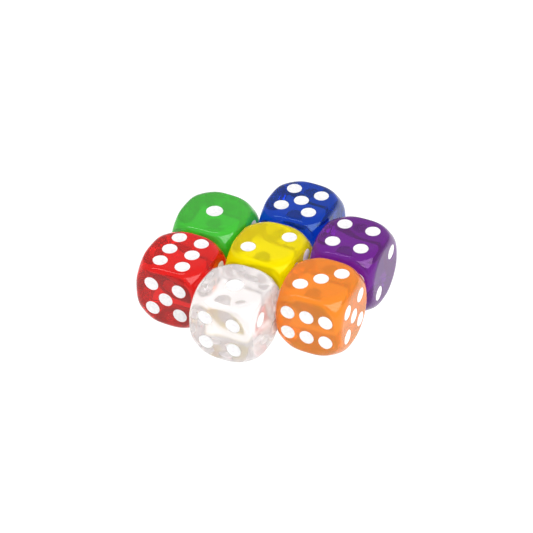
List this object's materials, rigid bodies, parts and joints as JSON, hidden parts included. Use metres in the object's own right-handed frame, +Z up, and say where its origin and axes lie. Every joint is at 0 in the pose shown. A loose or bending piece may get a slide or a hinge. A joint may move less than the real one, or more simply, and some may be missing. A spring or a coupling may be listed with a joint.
{
  "type": "dice set",
  "caption": "Loose set of large see-through acrylic dice with ball-rounded corners and white pips, standing close together.",
  "frame": {"origin": "on the surface the dice stand on, under the middle of the whole group", "axes": "+Z up; +Y from the front row to the back, square to the yellow die in the middle; +X to the right"},
  "size_m": [0.1522, 0.1568, 0.05],
  "materials": {
    "green_acrylic": "green see-through cast acrylic, flame-polished to a high gloss",
    "red_acrylic": "red see-through cast acrylic, flame-polished to a high gloss",
    "blue_acrylic": "blue see-through cast acrylic, flame-polished to a high gloss",
    "yellow_acrylic": "yellow see-through cast acrylic, flame-polished to a high gloss",
    "clear_acrylic": "colourless cast acrylic, flame-polished to a high gloss",
    "purple_acrylic": "purple see-through cast acrylic, flame-polished to a high gloss",
    "orange_acrylic": "orange see-through cast acrylic, flame-polished to a high gloss",
    "white_enamel": "opaque white enamel, semi-gloss, hand-filled into the recesses"
  },
  "bodies": {
    "green_die": {"green_cube": "green_acrylic", "green_pips_1": "white_enamel", "green_pips_2": "white_enamel", "green_pips_3": "white_enamel", "green_pips_4": "white_enamel", "green_pips_5": "white_enamel", "green_pips_6": "white_enamel"},
    "red_die": {"red_cube": "red_acrylic", "red_pips_1": "white_enamel", "red_pips_2": "white_enamel", "red_pips_3": "white_enamel", "red_pips_4": "white_enamel", "red_pips_5": "white_enamel", "red_pips_6": "white_enamel"},
    "blue_die": {"blue_cube": "blue_acrylic", "blue_pips_1": "white_enamel", "blue_pips_2": "white_enamel", "blue_pips_3": "white_enamel", "blue_pips_4": "white_enamel", "blue_pips_5": "white_enamel", "blue_pips_6": "white_enamel"},
    "yellow_die": {"yellow_cube": "yellow_acrylic", "yellow_pips_1": "white_enamel", "yellow_pips_2": "white_enamel", "yellow_pips_3": "white_enamel", "yellow_pips_4": "white_enamel", "yellow_pips_5": "white_enamel", "yellow_pips_6": "white_enamel"},
    "clear_die": {"clear_cube": "clear_acrylic", "clear_pips_1": "white_enamel", "clear_pips_2": "white_enamel", "clear_pips_3": "white_enamel", "clear_pips_4": "white_enamel", "clear_pips_5": "white_enamel", "clear_pips_6": "white_enamel"},
    "purple_die": {"purple_cube": "purple_acrylic", "purple_pips_1": "white_enamel", "purple_pips_2": "white_enamel", "purple_pips_3": "white_enamel", "purple_pips_4": "white_enamel", "purple_pips_5": "white_enamel", "purple_pips_6": "white_enamel"},
    "orange_die": {"orange_cube": "orange_acrylic", "orange_pips_1": "white_enamel", "orange_pips_2": "white_enamel", "orange_pips_3": "white_enamel", "orange_pips_4": "white_enamel", "orange_pips_5": "white_enamel", "orange_pips_6": "white_enamel"}
  },
  "joints": [
    {"name": "lift_green", "type": "slide", "parent": "yellow_die", "child": "green_die", "axis": [0, 0, 1], "range_m": [0, 0.075]},
    {"name": "lift_red", "type": "slide", "parent": "yellow_die", "child": "red_die", "axis": [0, 0, 1], "range_m": [0, 0.075]},
    {"name": "lift_blue", "type": "slide", "parent": "yellow_die", "child": "blue_die", "axis": [0, 0, 1], "range_m": [0, 0.075]},
    {"name": "lift_clear", "type": "slide", "parent": "yellow_die", "child": "clear_die", "axis": [0, 0, 1], "range_m": [0, 0.075]},
    {"name": "lift_purple", "type": "slide", "parent": "yellow_die", "child": "purple_die", "axis": [0, 0, 1], "range_m": [0, 0.075]},
    {"name": "lift_orange", "type": "slide", "parent": "yellow_die", "child": "orange_die", "axis": [0, 0, 1], "range_m": [0, 0.075]}
  ]
}
